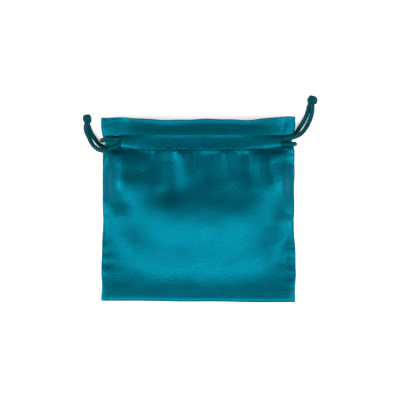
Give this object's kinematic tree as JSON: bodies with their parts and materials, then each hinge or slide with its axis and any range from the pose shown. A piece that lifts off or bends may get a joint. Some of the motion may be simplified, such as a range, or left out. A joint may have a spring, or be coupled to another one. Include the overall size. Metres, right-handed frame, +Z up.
{
  "type": "drawstring gift sack",
  "caption": "Small flat satin sack with a sewn cord casing under a frilled mouth and two knotted drawcords that gather it shut.",
  "frame": {"origin": "under the middle of the sack, on the surface that it lies on", "axes": "+X to the sack's right across the mouth, +Y from the bottom seam towards the mouth, +Z up through the front panel"},
  "size_m": [0.1533, 0.1354, 0.0151],
  "materials": {
    "satin": "satin weave, soft sheen",
    "thread": "twisted polyester sewing thread",
    "cord": "braided cord, slight sheen"
  },
  "bodies": {
    "sack": {"front_panel": "satin", "back_panel": "satin", "front_casing": "satin", "back_casing": "satin", "front_frill": "satin", "back_frill": "satin", "left_seam": "satin", "right_seam": "satin", "bottom_seam": "satin", "left_overlock": "thread", "right_overlock": "thread", "bottom_overlock": "thread", "front_lower_stitch": "thread", "front_upper_stitch": "thread", "back_lower_stitch": "thread", "back_upper_stitch": "thread", "front_tacks": "thread", "back_tacks": "thread"},
    "left_pull": {"left_drawcord": "cord", "left_knot": "cord"},
    "right_pull": {"right_drawcord": "cord", "right_knot": "cord"}
  },
  "joints": [
    {"name": "left_cord_slide", "type": "slide", "parent": "sack", "child": "left_pull", "axis": [-1, 0, 0], "range_m": [0, 0.036], "deforming": ["front_panel", "back_panel", "front_casing", "back_casing", "front_frill", "back_frill", "right_seam", "right_overlock", "front_tacks", "back_tacks", "front_lower_stitch", "front_upper_stitch", "back_lower_stitch", "back_upper_stitch"]},
    {"name": "right_cord_slide", "type": "slide", "parent": "sack", "child": "right_pull", "axis": [1, 0, 0], "range_m": [0, 0.036], "deforming": ["front_panel", "back_panel", "front_casing", "back_casing", "front_frill", "back_frill", "left_seam", "left_overlock", "front_tacks", "back_tacks", "front_lower_stitch", "front_upper_stitch", "back_lower_stitch", "back_upper_stitch"]}
  ]
}
